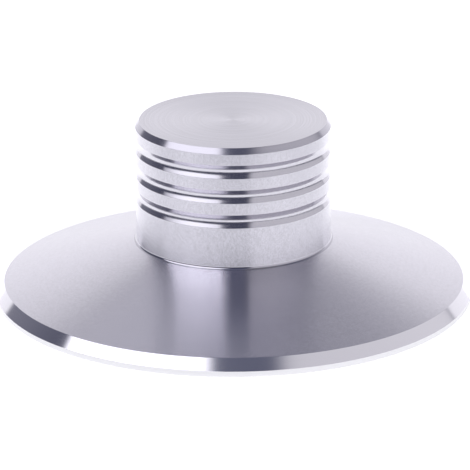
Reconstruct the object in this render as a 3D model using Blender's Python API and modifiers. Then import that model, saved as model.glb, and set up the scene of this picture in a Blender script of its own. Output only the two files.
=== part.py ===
"""Record weight: a disc stabiliser turned from one piece of aluminium bar.

A wide conical skirt rests on the middle of the record. A straight knob with three
round-bottomed grip grooves rises from it, and a small fillet joins the two. A blind bore from
below takes the turntable's spindle. Units are metres, +Z is up, and the origin is the centre of
the flat base.
"""

import math

import bpy

MM = 0.001

# Skirt
SKIRT_DIAMETER = 76.0 * MM
SKIRT_HEIGHT = 9.4 * MM
RIM_LAND = 1.0 * MM
RIM_CHAMFER_WIDTH = 1.3 * MM
RIM_CHAMFER_HEIGHT = 1.75 * MM
BASE_EDGE_BREAK = 0.25 * MM

# Knob
KNOB_DIAMETER = 31.0 * MM
KNOB_HEIGHT = 19.6 * MM
KNOB_CHAMFER_WIDTH = 0.65 * MM
KNOB_CHAMFER_HEIGHT = 0.9 * MM
NECK_FILLET = 0.4 * MM

# Grip grooves, counted from the top face down to the middle of the first one
GROOVE_COUNT = 3
GROOVE_WIDTH = 2.15 * MM
GROOVE_DEPTH = 0.5 * MM
GROOVE_PITCH = 4.05 * MM
FIRST_GROOVE_DROP = 3.75 * MM

# Spindle bore: the standard spindle with a running clearance
SPINDLE_DIAMETER = 7.15 * MM
SPINDLE_CLEARANCE = 0.15 * MM
BORE_DEPTH = 18.0 * MM
BORE_LEAD_IN = 0.8 * MM
DRILL_POINT_ANGLE = math.radians(118.0)

# Facets
TURN_STEPS = 120
GROOVE_STEPS = 8
FILLET_STEPS = 4
MERGE_DISTANCE = 0.01 * MM
SHARP_ANGLE = math.radians(30.0)

# Satin aluminium
METAL_COLOUR = (0.80, 0.80, 0.83, 1.0)
METAL_ROUGHNESS = 0.32

TOTAL_HEIGHT = SKIRT_HEIGHT + KNOB_HEIGHT
SKIRT_RADIUS = SKIRT_DIAMETER / 2
KNOB_RADIUS = KNOB_DIAMETER / 2
BORE_RADIUS = (SPINDLE_DIAMETER + SPINDLE_CLEARANCE) / 2


def arc(centre, radius, start, end, steps):
    """Points along a circle in the (radius, height) half-plane, from one angle to another."""
    angles = [start + (end - start) * step / steps for step in range(steps + 1)]
    return [(centre[0] + radius * math.cos(a), centre[1] + radius * math.sin(a)) for a in angles]


def top_face():
    """The flat top, from the axis out, and the bright chamfer round it."""
    return [
        (0.0, TOTAL_HEIGHT),
        (KNOB_RADIUS - KNOB_CHAMFER_WIDTH, TOTAL_HEIGHT),
        (KNOB_RADIUS, TOTAL_HEIGHT - KNOB_CHAMFER_HEIGHT),
    ]


def grip_groove(middle):
    """One groove: an arc GROOVE_WIDTH across at the knob's side and GROOVE_DEPTH deep."""
    half = GROOVE_WIDTH / 2
    radius = (half**2 + GROOVE_DEPTH**2) / (2 * GROOVE_DEPTH)
    centre = (KNOB_RADIUS - GROOVE_DEPTH + radius, middle)
    half_angle = 2 * math.atan(GROOVE_DEPTH / half)
    return arc(centre, radius, math.pi - half_angle, math.pi + half_angle, GROOVE_STEPS)


def grip_grooves():
    first = TOTAL_HEIGHT - FIRST_GROOVE_DROP
    points = []
    for index in range(GROOVE_COUNT):
        points += grip_groove(first - index * GROOVE_PITCH)
    return points


def skirt_top():
    """The neck fillet and the conical skirt, down to the upper edge of the rim chamfer.

    The cone's line would meet the knob's side at SKIRT_HEIGHT. The fillet touches both, so its
    centre lies NECK_FILLET out from the knob and as far above the cone's line.
    """
    foot = (KNOB_RADIUS, SKIRT_HEIGHT)
    edge = (SKIRT_RADIUS - RIM_CHAMFER_WIDTH, RIM_LAND + RIM_CHAMFER_HEIGHT)
    slope = math.atan2(foot[1] - edge[1], edge[0] - foot[0])
    rise = NECK_FILLET * (1 - math.sin(slope)) / math.cos(slope)
    centre = (foot[0] + NECK_FILLET, foot[1] + rise)
    fillet = arc(centre, NECK_FILLET, math.pi, 1.5 * math.pi - slope, FILLET_STEPS)
    return fillet + [edge]


def rim():
    """The foot of the bright rim chamfer, the upright land and the broken edge of the base."""
    return [
        (SKIRT_RADIUS, RIM_LAND),
        (SKIRT_RADIUS, BASE_EDGE_BREAK),
        (SKIRT_RADIUS - BASE_EDGE_BREAK, 0.0),
    ]


def spindle_bore():
    """The blind bore from its lead-in at the base up to the cone left by the drill."""
    cone = BORE_RADIUS / math.tan(DRILL_POINT_ANGLE / 2)
    return [
        (BORE_RADIUS + BORE_LEAD_IN, 0.0),
        (BORE_RADIUS, BORE_LEAD_IN),
        (BORE_RADIUS, BORE_DEPTH),
        (0.0, BORE_DEPTH + cone),
    ]


def satin_aluminium():
    material = bpy.data.materials.new("satin_aluminium")
    material.use_nodes = True
    shader = material.node_tree.nodes["Principled BSDF"]
    shader.inputs["Base Color"].default_value = METAL_COLOUR
    shader.inputs["Metallic"].default_value = 1.0
    shader.inputs["Roughness"].default_value = METAL_ROUGHNESS
    return material


def turned(name, profile, material, collection):
    """A solid of revolution: the profile is a chain of edges that a Screw modifier turns.

    The turned mesh replaces the chain, so that its corners can be marked sharp.
    """
    mesh = bpy.data.meshes.new(name)
    points = [(radius, 0.0, height) for radius, height in profile]
    edges = [(index, index + 1) for index in range(len(points) - 1)]
    mesh.from_pydata(points, edges, [])
    piece = bpy.data.objects.new(name, mesh)
    collection.objects.link(piece)
    piece.data.materials.append(material)

    turn = piece.modifiers.new("turn", "SCREW")
    turn.axis = "Z"
    turn.angle = 2 * math.pi
    turn.steps = TURN_STEPS
    turn.render_steps = TURN_STEPS
    turn.use_merge_vertices = True
    turn.merge_threshold = MERGE_DISTANCE

    depsgraph = bpy.context.evaluated_depsgraph_get()
    solid = bpy.data.meshes.new_from_object(piece.evaluated_get(depsgraph))
    piece.modifiers.clear()
    piece.data = solid
    bpy.data.meshes.remove(mesh)
    solid.name = name
    solid.shade_smooth()
    solid.set_sharp_from_angle(angle=SHARP_ANGLE)
    return piece


def main():
    for old in list(bpy.data.objects):
        bpy.data.objects.remove(old, do_unlink=True)
    collection = bpy.data.collections.new("record_weight")
    bpy.context.scene.collection.children.link(collection)
    profile = top_face() + grip_grooves() + skirt_top() + rim() + spindle_bore()
    turned("weight_body", profile, satin_aluminium(), collection)


main()
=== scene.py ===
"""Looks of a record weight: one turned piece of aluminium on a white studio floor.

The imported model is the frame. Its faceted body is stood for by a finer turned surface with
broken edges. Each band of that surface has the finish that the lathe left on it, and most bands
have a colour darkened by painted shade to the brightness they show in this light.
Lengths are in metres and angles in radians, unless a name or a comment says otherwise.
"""

import math
from types import SimpleNamespace

import bpy
import numpy as np
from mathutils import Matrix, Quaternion, Vector


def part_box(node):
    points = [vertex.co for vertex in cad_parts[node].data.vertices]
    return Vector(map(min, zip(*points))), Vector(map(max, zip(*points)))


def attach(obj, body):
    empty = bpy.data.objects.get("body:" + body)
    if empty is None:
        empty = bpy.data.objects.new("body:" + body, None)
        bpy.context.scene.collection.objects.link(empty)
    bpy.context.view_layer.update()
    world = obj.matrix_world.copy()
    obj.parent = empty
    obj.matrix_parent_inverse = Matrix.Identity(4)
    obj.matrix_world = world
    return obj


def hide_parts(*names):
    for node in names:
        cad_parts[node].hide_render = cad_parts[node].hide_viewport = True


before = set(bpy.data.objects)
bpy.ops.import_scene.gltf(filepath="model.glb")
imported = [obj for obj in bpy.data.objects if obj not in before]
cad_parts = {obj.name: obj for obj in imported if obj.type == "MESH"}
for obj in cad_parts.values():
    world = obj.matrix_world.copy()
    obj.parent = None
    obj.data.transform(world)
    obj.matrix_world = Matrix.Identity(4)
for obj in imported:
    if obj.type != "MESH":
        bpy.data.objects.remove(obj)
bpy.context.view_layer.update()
MM = 0.001
NODE = "weight_body"

# Sizes from the frame
LOW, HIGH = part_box(NODE)
SKIRT_RADIUS = HIGH.x
TOTAL_HEIGHT = HIGH.z

# Sizes of the turned profile
CONE_HEIGHT = 9.4 * MM
RIM_LAND = 1.0 * MM
RIM_CHAMFER = (1.3 * MM, 1.75 * MM)
BASE_EDGE_BREAK = 0.25 * MM
KNOB_RADIUS = 15.5 * MM
KNOB_CHAMFER = (0.65 * MM, 0.9 * MM)
NECK_FILLET = 0.5 * MM
GROOVE_COUNT = 3
GROOVE_WIDTH = 2.15 * MM
GROOVE_FLANK = math.radians(25.0)
GROOVE_ROUND = 1.34 * MM
GROOVE_PITCH = 4.05 * MM
FIRST_GROOVE_DROP = 3.75 * MM
BORE_RADIUS = 3.65 * MM
BORE_DEPTH = 18.0 * MM
BORE_LEAD_IN = 0.8 * MM
DRILL_POINT_ANGLE = math.radians(118.0)

# Fineness of the turned surface
EDGE_BREAK = 0.04 * MM
EDGE_STEPS = 3
GROOVE_STEPS = 14
FILLET_STEPS = 8
SUPPORT = 0.04 * MM
LONGEST_STEP = 2.0 * MM
TURN_STEPS = 480

# Tones of the patterns between which a finish goes from its darkest to its brightest
DARK_TONE = 0.3
BRIGHT_TONE = 0.7

# Rotation that draws the reflection out across the marks, as a share of a full turn
QUARTER_TURN = 0.25

# Camera, from the turned edges in the photograph, with its lens in millimetres
CAMERA_DISTANCE = 621.2 * MM
CAMERA_ELEVATION = math.radians(20.044)
CAMERA_AIM = (0.23 * MM, 0.0, 9.64 * MM)
CAMERA_ROLL = math.radians(-0.3165)
CAMERA_LENS = 296.5

# White paper under the object: it ends in front and at the sides, and it runs far behind
FLOOR_FRONT = 0.14
FLOOR_SIDE = 0.16
FLOOR_BACK = 4.0
FLOOR_GAP = 0.02 * MM

# Light that the paper adds for the camera, and for the metal that mirrors it. The second rises
# from its front value to its back value over a stretch of depth, and sooner on the left.
FLOOR_SEEN = 0.7
FLOOR_MIRRORED = (0.71, 0.86)
FLOOR_RISE = (0.0, 0.06)
FLOOR_LEAN = 0.25

# Colours of the studio's light
LOW_WALL = (0.078, 0.081, 0.122)
HIGH_WALL = (0.125, 0.131, 0.185)
BACK_WALL = (0.21, 0.21, 0.26)
OVERHEAD = (0.18, 0.186, 0.265)
SWEEP_FOOT = (1.04, 1.025, 1.08)
SWEEP_HEAD = (0.50, 0.49, 0.53)
LEFT_LIGHT = (1.57, 1.55, 1.655)
BACK_GLOW = (0.435, 0.43, 0.495)
CARD_FOOT = (0.73, 0.715, 0.76)
CARD_HEAD = (0.65, 0.637, 0.68)
CARD_SPILL = (0.27, 0.265, 0.285)

# Slopes of edges in the studio, as elevation over azimuth, and the least cosine to a softbox
SWEEP_DROP = 0.18
LEFT_FOOT_CLIMB = 0.3
LEAST_FACING = 0.001


def place(tree, kind, inputs=None, **settings):
    """A node of one kind. Each input is a plain value or another node's output socket."""
    made = tree.nodes.new(kind)
    for name, value in settings.items():
        setattr(made, name, value)
    for name, value in (inputs or {}).items():
        if isinstance(value, bpy.types.NodeSocket):
            tree.links.new(value, made.inputs[name])
        else:
            made.inputs[name].default_value = value
    return made


def math_node(tree, operation, *values):
    return place(tree, "ShaderNodeMath", dict(enumerate(values)), operation=operation).outputs[0]


def vector_node(tree, operation, *values, output="Vector"):
    made = place(tree, "ShaderNodeVectorMath", dict(enumerate(values)), operation=operation)
    return made.outputs[output]


def product(tree, *masks):
    """The masks multiplied: 1 only where each of them is 1."""
    result = masks[0]
    for mask in masks[1:]:
        result = math_node(tree, "MULTIPLY", result, mask)
    return result


def span(tree, value, start, end, low, high, interpolation="SMOOTHSTEP"):
    """Low up to start, high from end on, and a smooth rise between them."""
    inputs = {"Value": value, "From Min": start, "From Max": end, "To Min": low, "To Max": high}
    made = place(tree, "ShaderNodeMapRange", inputs, interpolation_type=interpolation)
    return made.outputs["Result"]


def blend(tree, mask, first, second):
    """The first colour where the mask is 0, and the second where it is 1.

    Each is a plain colour or another node's output socket.
    """
    ends = [end if isinstance(end, bpy.types.NodeSocket) else (*end, 1.0) for end in (first, second)]
    inputs = {"Factor": mask, 6: ends[0], 7: ends[1]}
    return place(tree, "ShaderNodeMix", inputs, data_type="RGBA").outputs[2]


def new_group(name, inputs, outputs):
    """An empty node group. An input is a number or a vector, as its default says."""
    group = bpy.data.node_groups.new(name, "ShaderNodeTree")
    for socket, default in inputs.items():
        kind = "NodeSocketVector" if isinstance(default, tuple) else "NodeSocketFloat"
        made = group.interface.new_socket(socket, in_out="INPUT", socket_type=kind)
        made.default_value = default
    for socket in outputs:
        group.interface.new_socket(socket, in_out="OUTPUT", socket_type="NodeSocketFloat")
    given = group.nodes.new("NodeGroupInput")
    result = group.nodes.new("NodeGroupOutput")
    return group, given, result


# Shape


def arc(centre, radius, start, end, steps):
    """Points at one radius from the centre, with the angle going evenly from start to end."""
    angle = np.linspace(start, end, steps + 1)
    return np.stack([centre[0] + radius * np.cos(angle), centre[1] + radius * np.sin(angle)], 1)


def groove(middle):
    """Two straight flanks that lean in from the lips, and a round bottom that touches both."""
    half = GROOVE_WIDTH / 2
    flank_width = half - GROOVE_ROUND * math.sin(GROOVE_FLANK)
    flank_depth = flank_width * math.tan(GROOVE_FLANK)
    depth = flank_depth + GROOVE_ROUND * (1 - math.cos(GROOVE_FLANK))
    centre = (KNOB_RADIUS - depth + GROOVE_ROUND, middle)
    bottom = arc(centre, GROOVE_ROUND, math.pi - GROOVE_FLANK, math.pi + GROOVE_FLANK, GROOVE_STEPS)
    upper_lip = [(KNOB_RADIUS, middle + half)]
    lower_lip = [(KNOB_RADIUS, middle - half)]
    return np.concatenate([upper_lip, bottom, lower_lip])


def neck(rim_edge):
    """The fillet: it touches the knob's side and the line from the cone's corner to the rim."""
    slope = math.atan2(CONE_HEIGHT - rim_edge[1], rim_edge[0] - KNOB_RADIUS)
    rise = NECK_FILLET * (1 - math.sin(slope)) / math.cos(slope)
    centre = (KNOB_RADIUS + NECK_FILLET, CONE_HEIGHT + rise)
    return arc(centre, NECK_FILLET, math.pi, 1.5 * math.pi - slope, FILLET_STEPS)


def outline():
    """The profile from the top's centre, down the outside and up the bore.

    Returns runs of points. Each run is (points, finish of the run, finish of the stretch that
    leads to it, whether its ends are corners).
    """
    top, side = TOTAL_HEIGHT, KNOB_RADIUS
    rim_edge = (SKIRT_RADIUS - RIM_CHAMFER[0], RIM_LAND + RIM_CHAMFER[1])
    drill_cone = BORE_RADIUS / math.tan(DRILL_POINT_ANGLE / 2)
    runs = [
        ([(0.0, top)], "top", "top", False),
        ([(side - KNOB_CHAMFER[0], top)], "top", "top", True),
        ([(side, top - KNOB_CHAMFER[1])], "knob_chamfer", "knob_chamfer", True),
    ]
    for index in range(GROOVE_COUNT):
        middle = top - FIRST_GROOVE_DROP - index * GROOVE_PITCH
        runs.append((groove(middle), "groove", "land", True))
    runs += [
        (neck(rim_edge), "fillet", "land", False),
        ([rim_edge], "skirt", "skirt", True),
        ([(SKIRT_RADIUS, RIM_LAND)], "rim_chamfer", "rim_chamfer", True),
        ([(SKIRT_RADIUS, BASE_EDGE_BREAK)], "rim_land", "rim_land", True),
        ([(SKIRT_RADIUS - BASE_EDGE_BREAK, 0.0)], "rim_land", "rim_land", True),
        ([(BORE_RADIUS + BORE_LEAD_IN, 0.0)], "base", "base", True),
        ([(BORE_RADIUS, BORE_LEAD_IN)], "bore", "bore", True),
        ([(BORE_RADIUS, BORE_DEPTH)], "bore", "bore", True),
        ([(0.0, BORE_DEPTH + drill_cone)], "bore", "bore", False),
    ]
    return runs


def broken_edge(before, corner, after, radius):
    """The corner as a small arc that touches both of its sides."""
    corner = np.asarray(corner)
    inward = np.asarray(before) - corner
    outward = np.asarray(after) - corner
    inward /= np.linalg.norm(inward)
    outward /= np.linalg.norm(outward)
    opening = math.acos(np.clip(inward @ outward, -1.0, 1.0))
    middle = (inward + outward) / np.linalg.norm(inward + outward)
    centre = corner + middle * radius / math.sin(opening / 2)
    first = corner + inward * radius / math.tan(opening / 2) - centre
    last = corner + outward * radius / math.tan(opening / 2) - centre
    share = np.linspace(0.0, 1.0, EDGE_STEPS + 1)[:, None]
    chord = first * (1 - share) + last * share
    return centre + radius * chord / np.linalg.norm(chord, axis=1, keepdims=True)


def profile():
    """The outline with its corners broken, and the finish of the stretch that ends at each point.

    A long stretch has a support point close to both ends, so that shading stays flat between
    them, and evenly spaced points in between.
    """
    points, finishes, corners = [], [], []
    for run, run_finish, lead_finish, has_corners in outline():
        for index, point in enumerate(run):
            at_end = index in (0, len(run) - 1)
            points.append(np.asarray(point, float))
            finishes.append(lead_finish if index == 0 else run_finish)
            corners.append(has_corners and at_end)
    chain, names = [points[0]], []
    for index in range(1, len(points)):
        if corners[index]:
            bend = broken_edge(points[index - 1], points[index], points[index + 1], EDGE_BREAK)
        else:
            bend = points[index][None]
        length = np.linalg.norm(bend[0] - chain[-1])
        if length > 4 * SUPPORT:
            share = SUPPORT / length
            inner = np.linspace(share, 1 - share, 2 + int(length / LONGEST_STEP))
            stretch = chain[-1] + inner[:, None] * (bend[0] - chain[-1])
            chain += list(stretch)
            names += [finishes[index]] * len(stretch)
        chain += list(bend)
        names += [finishes[index]] * len(bend)
    return np.array(chain), names


def turned_piece(name, chain, names, materials):
    """Point (k, j) of the surface lies radius k out and height k up, turned by j / n of a turn.

    The first and the last point of the profile are on the axis, so each of them is one vertex
    with a fan of triangles round it.
    """
    radius, height = chain[1:-1].T
    angle = np.arange(TURN_STEPS) * 2 * np.pi / TURN_STEPS
    rings = np.empty((len(radius), TURN_STEPS, 3))
    rings[..., 0] = radius[:, None] * np.cos(angle)
    rings[..., 1] = radius[:, None] * np.sin(angle)
    rings[..., 2] = height[:, None]
    poles = [(0.0, 0.0, chain[0, 1]), (0.0, 0.0, chain[-1, 1])]
    vertices = np.concatenate([rings.reshape(-1, 3), poles])

    step = np.arange(TURN_STEPS)
    after = (step + 1) % TURN_STEPS
    upper = TURN_STEPS * np.arange(len(radius) - 1)[:, None]
    lower = upper + TURN_STEPS
    quads = np.stack([upper + step, lower + step, lower + after, upper + after], -1)
    last_ring = TURN_STEPS * (len(radius) - 1)
    top_pole, bottom_pole = len(vertices) - 2, len(vertices) - 1
    top_fan = np.stack([np.full(TURN_STEPS, top_pole), step, after], -1)
    end_fan = np.stack([last_ring + step, np.full(TURN_STEPS, bottom_pole), last_ring + after], -1)
    faces = top_fan.tolist() + quads.reshape(-1, 4).tolist() + end_fan.tolist()

    mesh = bpy.data.meshes.new(name)
    mesh.from_pydata(vertices.tolist(), [], faces)
    slots = list(materials)
    for material in materials.values():
        mesh.materials.append(material)
    index = np.repeat([slots.index(finish) for finish in names], TURN_STEPS)
    mesh.polygons.foreach_set("material_index", index.astype(np.int32))
    mesh.shade_smooth()
    mesh.update()
    piece = bpy.data.objects.new(name, mesh)
    bpy.context.scene.collection.objects.link(piece)
    return piece


# Finishes


def turning_marks():
    """Fine rings round the axis, as the tool left them, that waver a little along the turn.

    The noise is read at (a point on the unit circle, radius / feed, height / feed). Speckle is
    the share of a second noise in the tone: an even grit, as handling leaves it.
    """
    inputs = {"Feed": 0.3 * MM, "Waver": 1.5, "Speckle": 0.0, "Grit": 0.5 * MM}
    group, given, result = new_group("turning_marks", inputs, ["Tone"])
    point = place(group, "ShaderNodeTexCoord").outputs["Object"]
    flat = vector_node(group, "MULTIPLY", point, (1.0, 1.0, 0.0))
    around = place(group, "ShaderNodeSeparateXYZ", {0: vector_node(group, "NORMALIZE", flat)})
    reach = vector_node(group, "LENGTH", flat, output="Value")
    height = place(group, "ShaderNodeSeparateXYZ", {0: point}).outputs["Z"]
    waver, feed = given.outputs["Waver"], given.outputs["Feed"]
    ring_spot = place(
        group,
        "ShaderNodeCombineXYZ",
        {
            "X": math_node(group, "MULTIPLY", around.outputs["X"], waver),
            "Y": math_node(group, "MULTIPLY", around.outputs["Y"], waver),
            "Z": math_node(group, "DIVIDE", reach, feed),
        },
    )
    ring_inputs = {
        "Vector": ring_spot.outputs[0],
        "W": math_node(group, "DIVIDE", height, feed),
        "Scale": 1.0,
        "Detail": 3.0,
        "Roughness": 0.6,
    }
    rings = place(group, "ShaderNodeTexNoise", ring_inputs, noise_dimensions="4D")
    fineness = math_node(group, "DIVIDE", 1.0, given.outputs["Grit"])
    grit_spot = place(group, "ShaderNodeVectorMath", {0: point, "Scale": fineness}, operation="SCALE")
    grit_inputs = {"Vector": grit_spot.outputs[0], "Scale": 1.0, "Detail": 2.0, "Roughness": 0.5}
    grit = place(group, "ShaderNodeTexNoise", grit_inputs)
    both = {"Factor": given.outputs["Speckle"], 2: rings.outputs[0], 3: grit.outputs[0]}
    tone = place(group, "ShaderNodeMix", both, data_type="FLOAT")
    group.links.new(tone.outputs[0], result.inputs["Tone"])
    return group


def grain():
    """Short streaks: noise drawn out along the axis, by the share of Across to Along."""
    group, given, result = new_group("grain", {"Across": 0.3 * MM, "Along": 3.0 * MM}, ["Tone"])
    point = place(group, "ShaderNodeTexCoord").outputs["Object"]
    at = place(group, "ShaderNodeSeparateXYZ", {0: point})
    across, along = given.outputs["Across"], given.outputs["Along"]
    spot = place(
        group,
        "ShaderNodeCombineXYZ",
        {
            "X": math_node(group, "DIVIDE", at.outputs["X"], across),
            "Y": math_node(group, "DIVIDE", at.outputs["Y"], across),
            "Z": math_node(group, "DIVIDE", at.outputs["Z"], along),
        },
    )
    inputs = {"Vector": spot.outputs[0], "Scale": 1.0, "Detail": 2.0, "Roughness": 0.5}
    streaks = place(group, "ShaderNodeTexNoise", inputs)
    group.links.new(streaks.outputs[0], result.inputs["Tone"])
    return group


def metal(name, colour, shade, roughness, spread, anisotropy, pattern, settings):
    """One finish of the aluminium.

    The reflection is drawn out across the turning marks, by anisotropy. The pattern's tone takes
    the colour down to shade times itself, and moves the roughness by spread.
    """
    material = bpy.data.materials.new(name)
    material.use_nodes = True
    tree = material.node_tree
    shader = tree.nodes["Principled BSDF"]
    shader.inputs["Metallic"].default_value = 1.0
    shader.inputs["Anisotropic"].default_value = anisotropy
    shader.inputs["Anisotropic Rotation"].default_value = QUARTER_TURN
    around = place(tree, "ShaderNodeTangent", direction_type="RADIAL", axis="Z")
    tree.links.new(around.outputs[0], shader.inputs["Tangent"])

    tone = place(tree, "ShaderNodeGroup", settings, node_tree=pattern).outputs["Tone"]
    brightness = span(tree, tone, DARK_TONE, BRIGHT_TONE, 0.0, 1.0)
    shaded = [channel * shade for channel in colour]
    tree.links.new(blend(tree, brightness, shaded, colour), shader.inputs["Base Color"])
    rough = span(tree, tone, DARK_TONE, BRIGHT_TONE, roughness + spread, roughness - spread)
    tree.links.new(rough, shader.inputs["Roughness"])
    return material


def finishes():
    """The finish of each band, by the name that the profile gives the band.

    The numbers of a finish are its shade, roughness, spread and anisotropy. The colours below
    clean are painted shade.
    """
    rings, streaks = turning_marks(), grain()
    # One aluminium at several levels. Bare and clean are close to the metal's own colour. The levels
    # below them are painted shade, which darkens a band to the brightness it shows in this light: the
    # rim's land least, then the top, the knob's side and the grooves, and the knob's chamfer and the
    # neck most.
    bare = (0.86, 0.85, 0.895)
    clean = (0.828, 0.815, 0.872)
    soft = (0.805, 0.803, 0.82)
    even = (0.758, 0.748, 0.794)
    pale = (0.70, 0.69, 0.745)
    dark_shaded = (0.66, 0.65, 0.70)
    darkest_shaded = (0.57, 0.56, 0.615)
    fine = {"Feed": 0.12 * MM, "Waver": 0.4}
    coarse = {"Feed": 0.22 * MM, "Waver": 4.0}
    handled = {**coarse, "Speckle": 0.75, "Grit": 0.4 * MM}
    blasted = {"Across": 0.35 * MM, "Along": 1.6 * MM}
    satin = {"Across": 0.24 * MM, "Along": 0.4 * MM}
    return {
        "top": metal("turned_top_face", even, 0.905, 0.22, 0.005, 0.78, rings, fine),
        "knob_chamfer": metal("bright_cut_knob_edge", darkest_shaded, 0.98, 0.17, 0.01, 0.3, rings, fine),
        "land": metal("satin_knob_side", pale, 0.915, 0.2, 0.009, 0.97, streaks, satin),
        "groove": metal("bright_cut_grooves", dark_shaded, 0.98, 0.16, 0.01, 0.75, rings, fine),
        "fillet": metal("bright_cut_neck", darkest_shaded, 0.98, 0.05, 0.01, 0.0, rings, fine),
        "skirt": metal("turned_skirt", clean, 0.925, 0.21, 0.003, 1.0, rings, handled),
        "rim_chamfer": metal("bright_cut_rim", bare, 0.99, 0.11, 0.01, 0.3, rings, fine),
        "rim_land": metal("satin_rim", soft, 0.98, 0.3, 0.02, 0.5, rings, fine),
        "base": metal("turned_base", bare, 0.92, 0.32, 0.02, 0.8, rings, coarse),
        "bore": metal("drilled_bore", bare, 0.9, 0.3, 0.03, 0.5, streaks, blasted),
    }


# Studio


def edge(tree, angle, start, end, low=0.0, high=1.0):
    """A soft edge: low up to the start, and high from the end on, both in degrees."""
    return span(tree, angle, math.radians(start), math.radians(end), low, high)


def between(tree, angle, rise, fall):
    """1 between two soft edges. Each edge is its start and its end, in degrees."""
    return product(tree, edge(tree, angle, *rise), edge(tree, angle, *fall, 1.0, 0.0))


def softbox_mask():
    """1 inside a rectangle that faces the object, and a smooth fall to 0 over its border.

    A direction d meets the rectangle's plane at (d . Across, d . Up) / (d . Facing).
    """
    inputs = {
        "Direction": (0.0, 0.0, 1.0),
        "Facing": (0.0, 0.0, 1.0),
        "Across": (1.0, 0.0, 0.0),
        "Up": (0.0, 1.0, 0.0),
        "Half Width": 0.5,
        "Half Height": 0.5,
        "Border": 0.02,
    }
    group, given, result = new_group("softbox_mask", inputs, ["Mask"])

    def along(name):
        ends = given.outputs["Direction"], given.outputs[name]
        return vector_node(group, "DOT_PRODUCT", *ends, output="Value")

    facing = math_node(group, "MAXIMUM", along("Facing"), LEAST_FACING)
    border = given.outputs["Border"]
    masks = []
    for axis, size in (("Across", "Half Width"), ("Up", "Half Height")):
        reach = math_node(group, "ABSOLUTE", math_node(group, "DIVIDE", along(axis), facing))
        start = math_node(group, "SUBTRACT", given.outputs[size], border)
        end = math_node(group, "ADD", given.outputs[size], border)
        masks.append(span(group, reach, start, end, 1.0, 0.0))
    group.links.new(product(group, *masks), result.inputs["Mask"])
    return group


def softbox(tree, ray, group, azimuth, elevation, roll, width, height, border):
    """The mask of one softbox, with its angles in degrees.

    Width and height are in units of its distance.
    """
    turn, lift, tilt = map(math.radians, (azimuth, elevation, roll))
    facing = Vector((
        math.sin(turn) * math.cos(lift),
        -math.cos(turn) * math.cos(lift),
        math.sin(lift),
    ))
    across = Vector((math.cos(turn), math.sin(turn), 0.0))
    across.rotate(Quaternion(facing, tilt))
    values = {
        "Direction": ray.direction,
        "Facing": facing,
        "Across": across,
        "Up": facing.cross(across),
        "Half Width": width / 2,
        "Half Height": height / 2,
        "Border": border,
    }
    return place(tree, "ShaderNodeGroup", values, node_tree=group).outputs["Mask"]


def ray_angles(tree):
    """The direction of a ray that leaves the object, and its angles.

    Azimuth is 0 toward the camera's side, behind is 0 straight away from it, and both are
    positive on the right.
    """
    direction = place(tree, "ShaderNodeTexCoord").outputs["Generated"]
    at = place(tree, "ShaderNodeSeparateXYZ", {0: direction})
    nearness = math_node(tree, "MULTIPLY", at.outputs["Y"], -1.0)
    return SimpleNamespace(
        direction=direction,
        depth=at.outputs["Y"],
        azimuth=math_node(tree, "ARCTAN2", at.outputs["X"], nearness),
        behind=math_node(tree, "ARCTAN2", at.outputs["X"], at.outputs["Y"]),
        elevation=math_node(tree, "ARCSINE", at.outputs["Z"]),
    )


def dim_room(tree, ray):
    """Bluish walls, a little lighter high up and at the back, and again overhead."""
    walls = blend(tree, edge(tree, ray.elevation, 25, 52), LOW_WALL, HIGH_WALL)
    walls = blend(tree, span(tree, ray.depth, -0.1, 0.8, 0.0, 1.0), walls, BACK_WALL)
    return blend(tree, edge(tree, ray.elevation, 55, 66), walls, OVERHEAD)


def add_sweep(tree, ray, light):
    """White paper behind the object. It fades upwards, and further down on the right."""
    share = span(tree, ray.elevation, 0.0, math.radians(60), 0.0, 1.0, "LINEAR")
    paper = blend(tree, share, SWEEP_FOOT, SWEEP_HEAD)
    drop = math_node(tree, "MULTIPLY", ray.behind, SWEEP_DROP)
    top_edge = edge(tree, math_node(tree, "ADD", ray.elevation, drop), 26, 58, 1.0, 0.2)
    sides = between(tree, ray.behind, (-45, -41.5), (49, 52.5))
    return blend(tree, product(tree, sides, top_edge), light, paper)


def add_left_light(tree, ray, light, group):
    """A tilted softbox and a strip above it, both cut off below a line that climbs to the right."""
    panel = softbox(
        tree, ray, group, azimuth=-55, elevation=40, roll=-8, width=1.285, height=0.796, border=0.045
    )
    strip_sides = between(tree, ray.azimuth, (-102, -96), (-26, -18))
    strip = product(tree, strip_sides, between(tree, ray.elevation, (48, 50), (66, 76)))
    climb = math_node(tree, "MULTIPLY", ray.azimuth, LEFT_FOOT_CLIMB)
    foot = edge(tree, math_node(tree, "SUBTRACT", ray.elevation, climb), 31, 35)
    mask = product(tree, math_node(tree, "MAXIMUM", panel, strip), foot)
    return blend(tree, mask, light, LEFT_LIGHT)


def add_back_glow(tree, ray, light, group):
    """A faint patch of light high up behind the object on the left."""
    mask = softbox(
        tree, ray, group, azimuth=-153, elevation=56, roll=0, width=0.4, height=0.4, border=0.14
    )
    return blend(tree, mask, light, BACK_GLOW)


def add_right_card(tree, ray, light):
    """A pale card from the floor up to a tilted plane, and its faint spill further up.

    The plane goes through the object, and the directions above it have a positive product with
    its pole.
    """
    turn, lift, softness = map(math.radians, (50, 52.1, 1.8))
    pole = (-math.sin(turn) * math.sin(lift), math.cos(turn) * math.sin(lift), math.cos(lift))
    above = vector_node(tree, "DOT_PRODUCT", ray.direction, pole, output="Value")
    mask = product(
        tree,
        between(tree, ray.azimuth, (16, 25), (127, 129)),
        span(tree, above, -math.sin(softness), math.sin(softness), 1.0, 0.0),
        edge(tree, ray.elevation, -2, 2),
    )
    card = blend(tree, edge(tree, ray.elevation, 15, 52), CARD_FOOT, CARD_HEAD)
    light = blend(tree, mask, light, card)
    spill_sides = between(tree, ray.azimuth, (20, 28), (120, 130))
    spill = product(tree, spill_sides, between(tree, ray.elevation, (56, 60), (74, 84)))
    return blend(tree, spill, light, CARD_SPILL)


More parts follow.
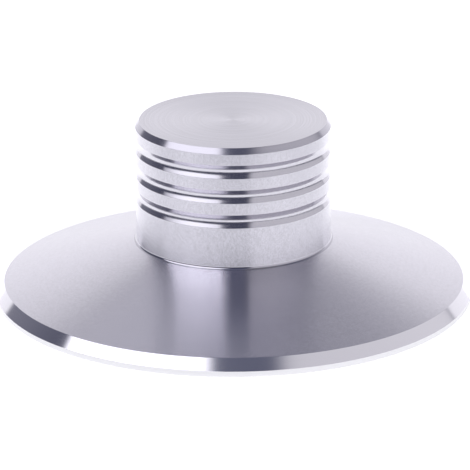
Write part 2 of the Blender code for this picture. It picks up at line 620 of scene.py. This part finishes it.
def studio():
    """A dim room with a white sweep behind, a softbox on the left and a pale card on the right.

    The camera sees plain white. Everything else sees the room by its direction.
    """
    world = bpy.data.worlds.new("studio")
    bpy.context.scene.world = world
    world.use_nodes = True
    tree = world.node_tree
    tree.nodes.clear()
    ray = ray_angles(tree)
    group = softbox_mask()
    light = dim_room(tree, ray)
    light = add_sweep(tree, ray, light)
    light = add_left_light(tree, ray, light, group)
    light = add_back_glow(tree, ray, light, group)
    light = add_right_card(tree, ray, light)

    white = place(tree, "ShaderNodeBackground", {"Color": (1.0, 1.0, 1.0, 1.0), "Strength": 1.0})
    lit = place(tree, "ShaderNodeBackground", {"Color": light, "Strength": 1.0})
    seen = place(tree, "ShaderNodeLightPath").outputs["Is Camera Ray"]
    both = place(tree, "ShaderNodeMixShader", {0: seen, 1: lit.outputs[0], 2: white.outputs[0]})
    place(tree, "ShaderNodeOutputWorld", {"Surface": both.outputs[0]})


def floor():
    """A white floor that keeps the soft shadow at the foot of the rim."""
    level = LOW.z - FLOOR_GAP
    corners = [
        (-FLOOR_SIDE, -FLOOR_FRONT, level),
        (FLOOR_SIDE, -FLOOR_FRONT, level),
        (FLOOR_SIDE, FLOOR_BACK, level),
        (-FLOOR_SIDE, FLOOR_BACK, level),
    ]
    mesh = bpy.data.meshes.new("floor")
    mesh.from_pydata(corners, [], [(0, 1, 2, 3)])
    ground = bpy.data.objects.new("floor", mesh)
    bpy.context.scene.collection.objects.link(ground)
    material = bpy.data.materials.new("white_floor")
    material.use_nodes = True
    tree = material.node_tree
    shader = tree.nodes["Principled BSDF"]
    shader.inputs["Base Color"].default_value = (0.8, 0.8, 0.8, 1.0)
    shader.inputs["Roughness"].default_value = 0.9
    shader.inputs["Specular IOR Level"].default_value = 0.0
    shader.inputs["Emission Color"].default_value = (1.0, 1.0, 1.0, 1.0)

    rays = place(tree, "ShaderNodeLightPath")
    point = place(tree, "ShaderNodeTexCoord").outputs["Object"]
    at = place(tree, "ShaderNodeSeparateXYZ", {0: point})
    lean = math_node(tree, "MULTIPLY", at.outputs["X"], FLOOR_LEAN)
    back = math_node(tree, "SUBTRACT", at.outputs["Y"], lean)
    mirrored = span(tree, back, *FLOOR_RISE, *FLOOR_MIRRORED)
    to_camera = math_node(tree, "MULTIPLY", rays.outputs["Is Camera Ray"], FLOOR_SEEN)
    to_metal = math_node(tree, "MULTIPLY", rays.outputs["Is Glossy Ray"], mirrored)
    own_light = math_node(tree, "ADD", to_camera, to_metal)
    tree.links.new(own_light, shader.inputs["Emission Strength"])
    ground.data.materials.append(material)


def camera():
    """The photograph's viewpoint, from one distance, two angles, the aim and the roll."""
    data = bpy.data.cameras.new("camera")
    data.lens = CAMERA_LENS
    data.clip_start = 0.01
    data.clip_end = 20.0
    made = bpy.data.objects.new("camera", data)
    bpy.context.scene.collection.objects.link(made)
    made.location = Vector((
        0.0,
        -CAMERA_DISTANCE * math.cos(CAMERA_ELEVATION),
        CAMERA_DISTANCE * math.sin(CAMERA_ELEVATION),
    ))
    aim = (Vector(CAMERA_AIM) - made.location).to_track_quat("-Z", "Y")
    made.rotation_mode = "QUATERNION"
    made.rotation_quaternion = aim @ Quaternion((0.0, 0.0, 1.0), CAMERA_ROLL)
    bpy.context.scene.camera = made


camera()
chain, names = profile()
body = turned_piece("turned_weight", chain, names, finishes())
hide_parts(NODE)
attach(body, "root")
floor()
studio()
bpy.context.scene.view_settings.view_transform = "Standard"
